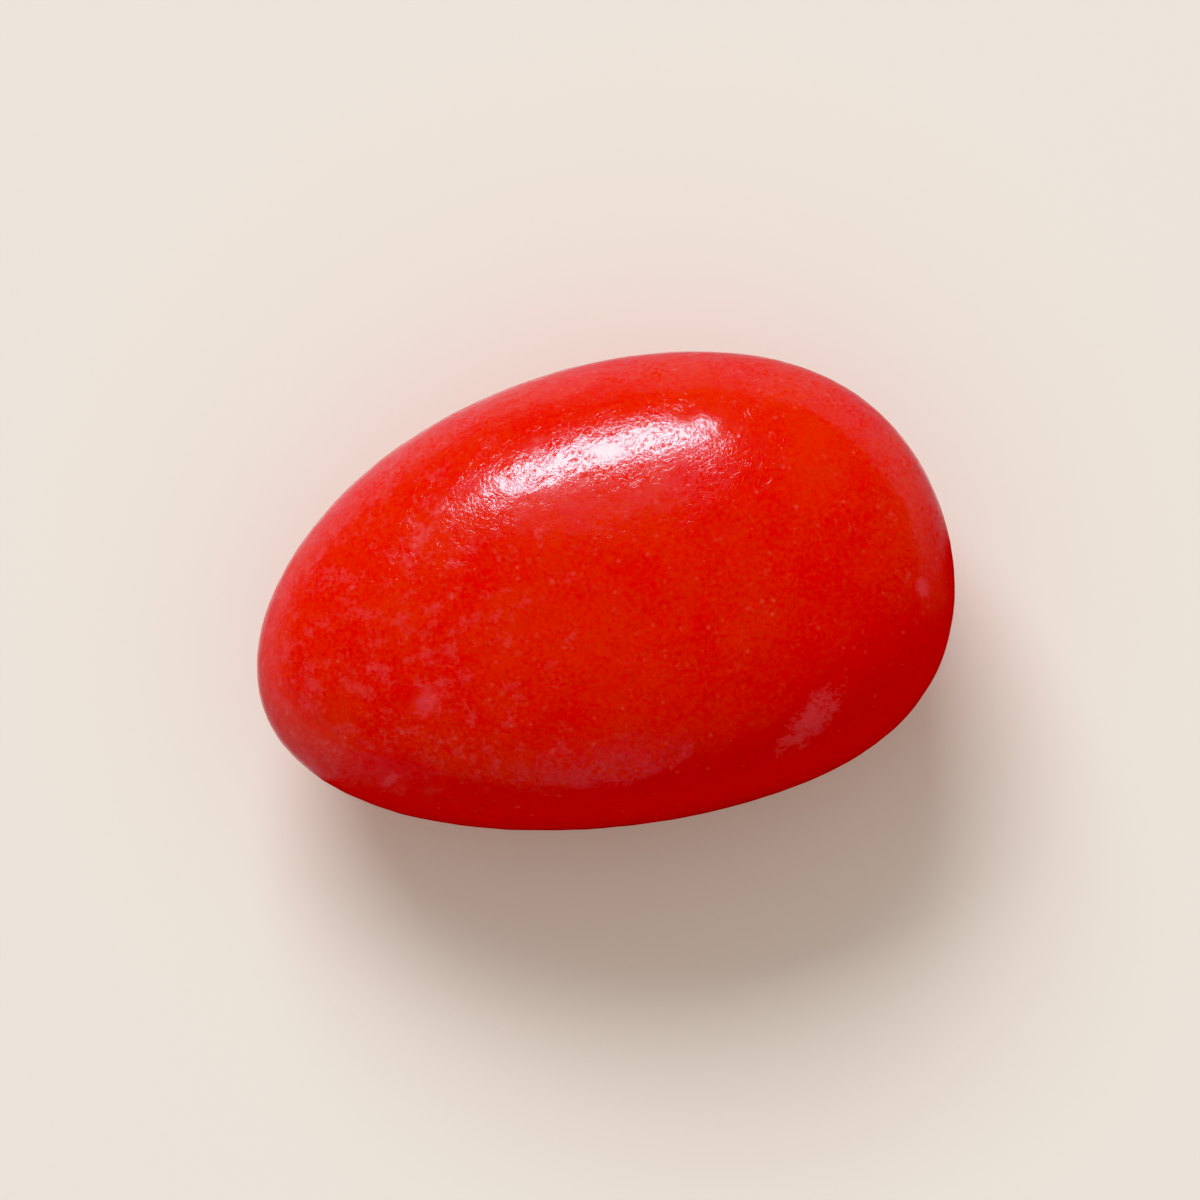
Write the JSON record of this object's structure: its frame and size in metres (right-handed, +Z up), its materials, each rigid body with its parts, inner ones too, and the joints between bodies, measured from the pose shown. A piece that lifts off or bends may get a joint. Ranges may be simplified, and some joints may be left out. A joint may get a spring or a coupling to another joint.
{
  "type": "sugared almond",
  "caption": "Whole almond in a hard glossy red sugar shell, an egg-shaped flattened sweet lying on its broad side.",
  "frame": {"origin": "on the surface that the almond stands on, below the middle of its outline", "axes": "+X runs along the almond to its broad end, +Y points to the side that bows out, +Z points up through the broad face"},
  "size_m": [0.0298, 0.0196, 0.0132],
  "materials": {
    "sugar_shell": "hard panned sugar, satin gloss with fine pits and pale specks"
  },
  "bodies": {
    "root": {"sugared_almond": "sugar_shell"}
  },
  "joints": []
}
